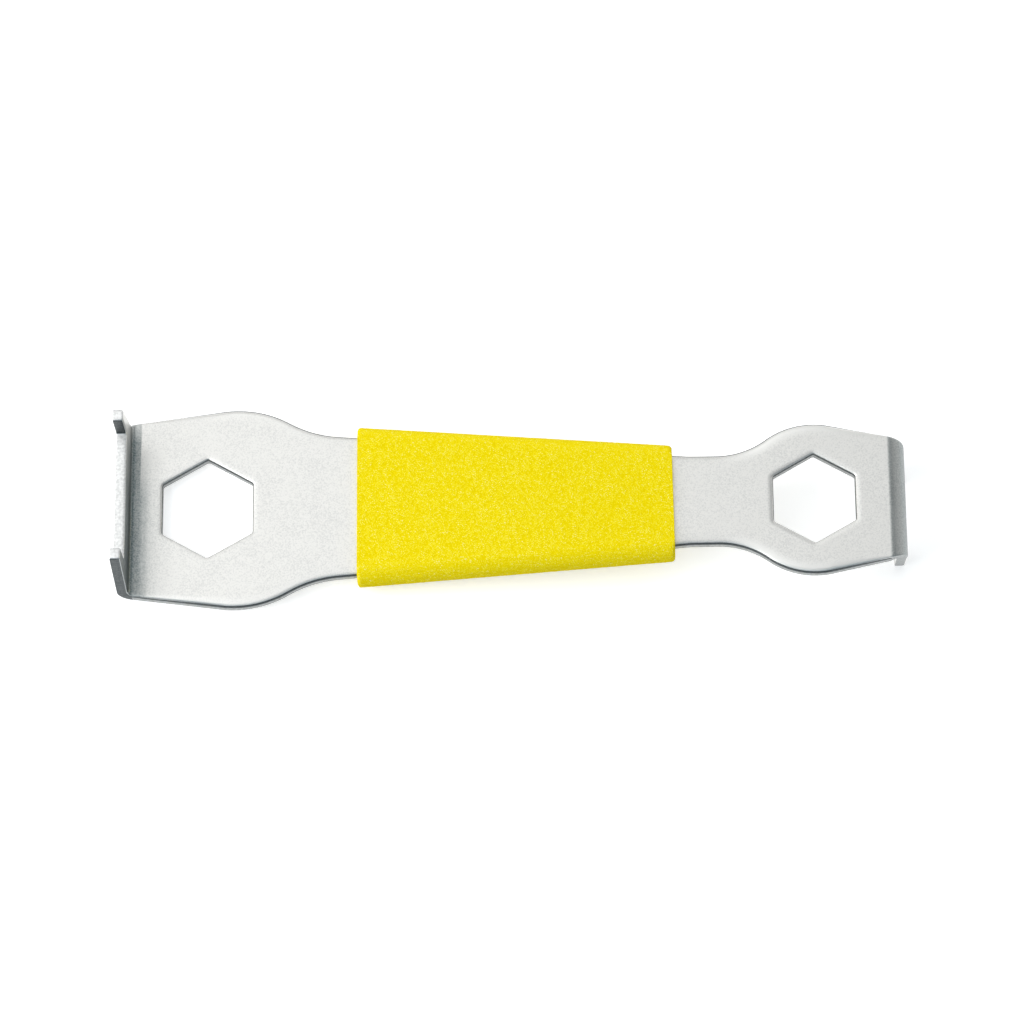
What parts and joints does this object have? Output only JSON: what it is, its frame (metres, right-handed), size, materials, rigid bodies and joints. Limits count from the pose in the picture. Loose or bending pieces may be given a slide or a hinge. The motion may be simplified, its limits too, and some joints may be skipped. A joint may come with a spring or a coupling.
{
  "type": "chainring nut wrench",
  "caption": "Flat steel wrench with a six-sided opening in each head and a folded, pronged flange at each end, held by a tapered yellow foam sleeve",
  "frame": {"origin": "the middle of the wrench's box", "axes": "+X runs along the handle from the wide head to the narrow head, +Z is square to the blade on the side that the wide prongs point to, +Y completes the right-handed frame"},
  "size_m": [0.088, 0.0234, 0.016],
  "materials": {
    "zinc_steel": "bright zinc plating, satin",
    "yellow_foam": "matte fine-celled foam"
  },
  "bodies": {
    "root": {"wrench_blade": "zinc_steel", "foam_grip": "yellow_foam"}
  },
  "joints": []
}
